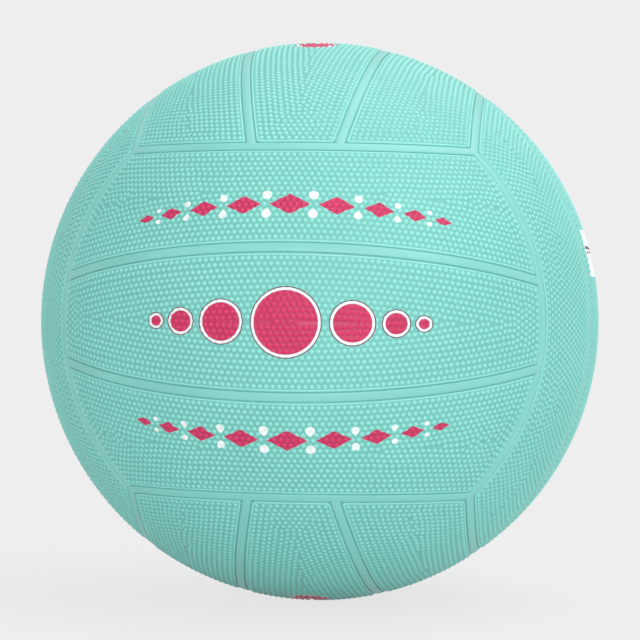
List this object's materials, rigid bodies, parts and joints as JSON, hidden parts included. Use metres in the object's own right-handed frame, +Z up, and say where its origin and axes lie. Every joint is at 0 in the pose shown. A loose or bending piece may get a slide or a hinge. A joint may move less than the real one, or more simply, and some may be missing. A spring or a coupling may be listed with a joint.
{
  "type": "netball",
  "caption": "Pebbled rubber netball: panels in crossed strips between raised seam ribs, over a wound carcass and a bladder, with a needle valve whose plug pulls out.",
  "frame": {"origin": "centre of the ball", "axes": "+Z up, -Y out of the middle of the front face, +X to the right of it, +Y out of the valve"},
  "size_m": [0.2228, 0.2225, 0.2228],
  "materials": {
    "panel_rubber": "matt aqua rubber, moulded with fine pebbles",
    "carcass_rubber": "smooth satin aqua rubber",
    "wound_thread": "undyed nylon thread set in latex",
    "bladder_rubber": "smooth black rubber",
    "valve_rubber": "moulded black rubber",
    "plug_rubber": "moulded dark grey rubber"
  },
  "bodies": {
    "ball": {"front_upper_panel": "panel_rubber", "front_middle_panel": "panel_rubber", "front_lower_panel": "panel_rubber", "bottom_right_panel": "panel_rubber", "bottom_middle_panel": "panel_rubber", "bottom_left_panel": "panel_rubber", "left_rear_panel": "panel_rubber", "left_middle_panel": "panel_rubber", "left_front_panel": "panel_rubber", "back_upper_panel": "panel_rubber", "back_middle_panel": "panel_rubber", "back_lower_panel": "panel_rubber", "top_right_panel": "panel_rubber", "top_middle_panel": "panel_rubber", "top_left_panel": "panel_rubber", "right_rear_panel": "panel_rubber", "right_middle_panel": "panel_rubber", "right_front_panel": "panel_rubber", "carcass": "carcass_rubber", "winding": "wound_thread", "bladder": "bladder_rubber", "valve_housing": "valve_rubber"},
    "plug": {"valve_plug": "plug_rubber"}
  },
  "joints": [
    {"name": "plug_pull", "type": "slide", "parent": "ball", "child": "plug", "axis": [0, 1, 0], "range_m": [0, 0.016]}
  ]
}
